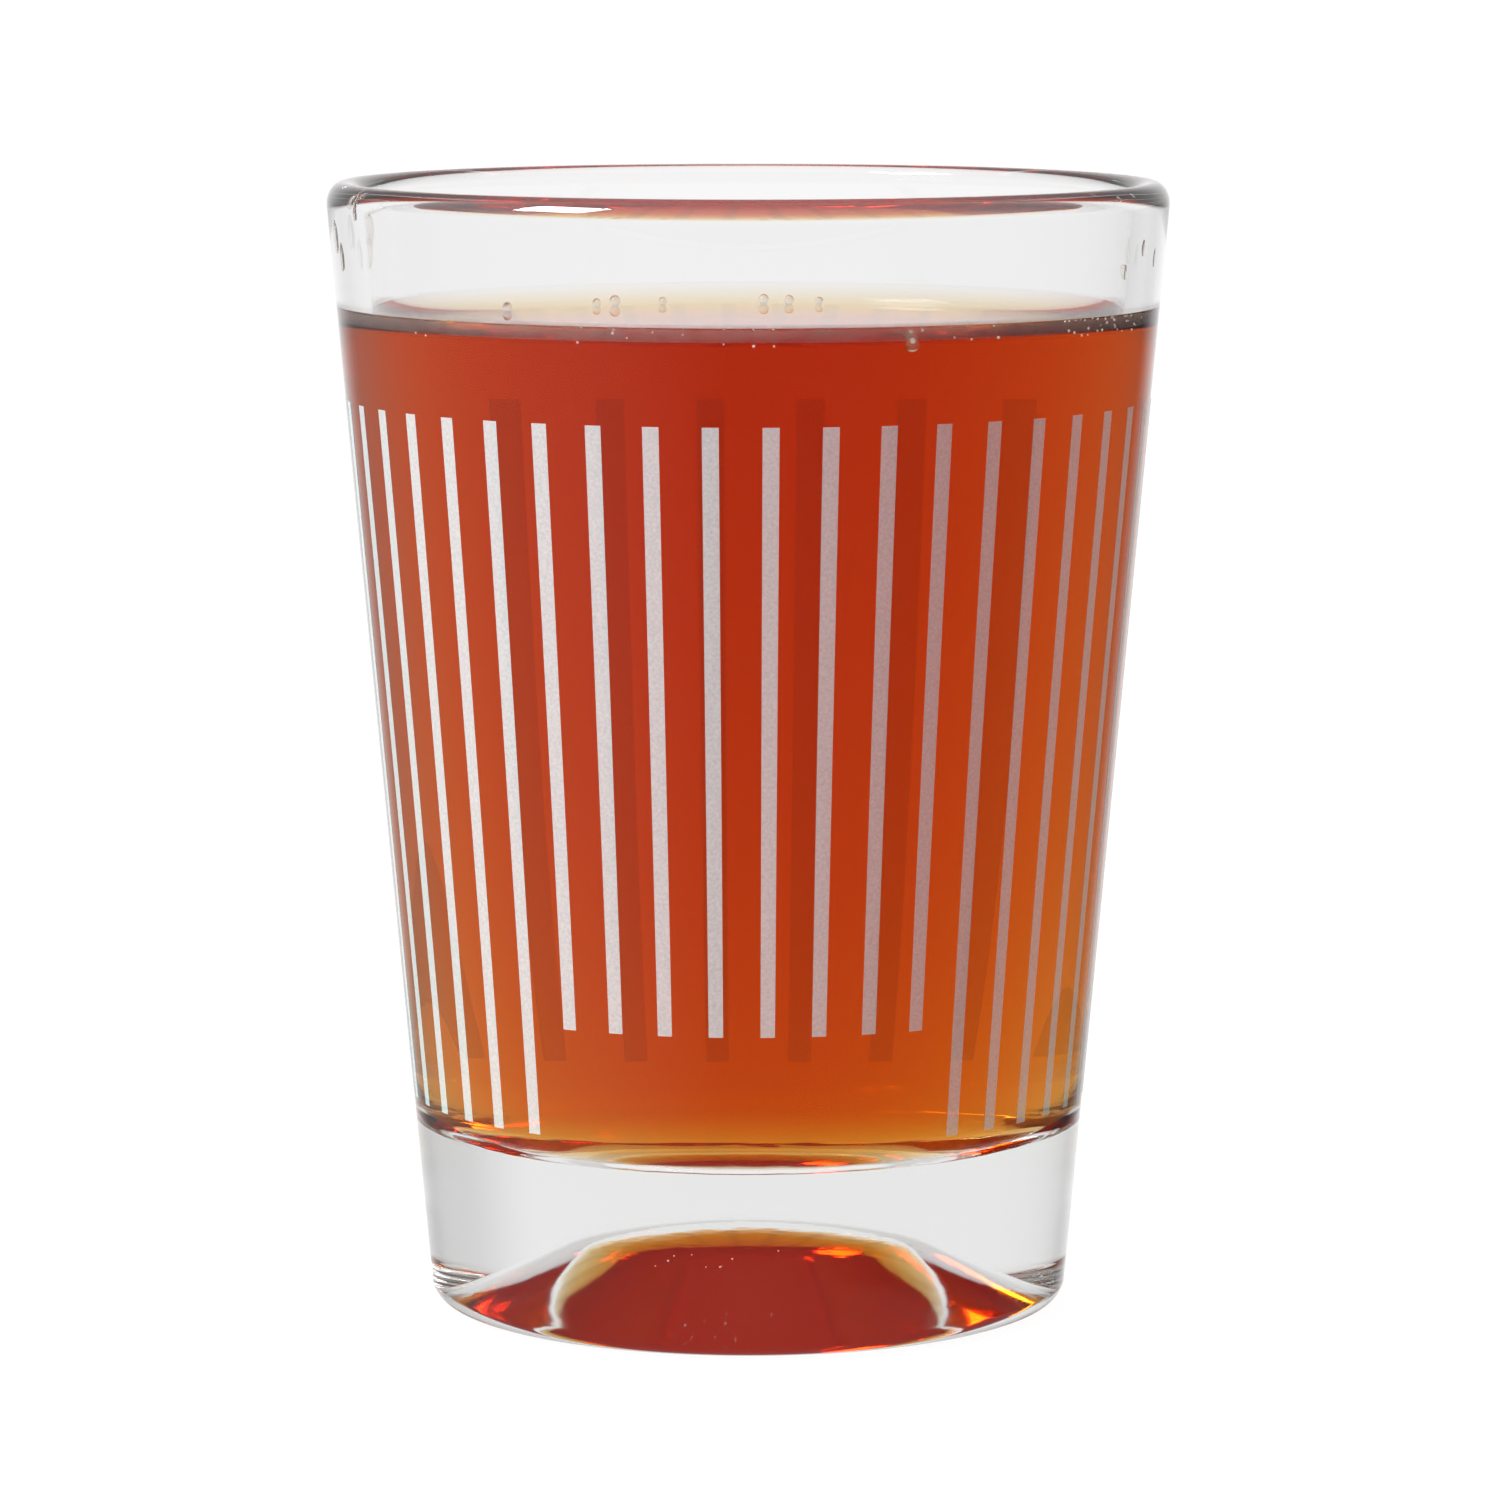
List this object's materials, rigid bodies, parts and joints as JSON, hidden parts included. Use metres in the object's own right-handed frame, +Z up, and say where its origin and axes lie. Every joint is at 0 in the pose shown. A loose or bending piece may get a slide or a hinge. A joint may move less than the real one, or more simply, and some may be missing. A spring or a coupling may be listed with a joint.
{
  "type": "tea glass with tea",
  "caption": "Straight-sided conical glass with a heavy base, thin upright printed stripes and a rounded rim, filled nearly to the top with clear black tea.",
  "frame": {"origin": "centre of the ring that the glass stands on, in the plane of the table", "axes": "+Z up the glass's axis; the bare field below the short stripes faces -Y"},
  "size_m": [0.061, 0.061, 0.082],
  "materials": {
    "glass": "polished clear glass with fired-on matt silver stripes",
    "tea": "clear reddish amber liquid"
  },
  "bodies": {
    "root": {"glass": "glass", "tea": "tea"}
  },
  "joints": []
}
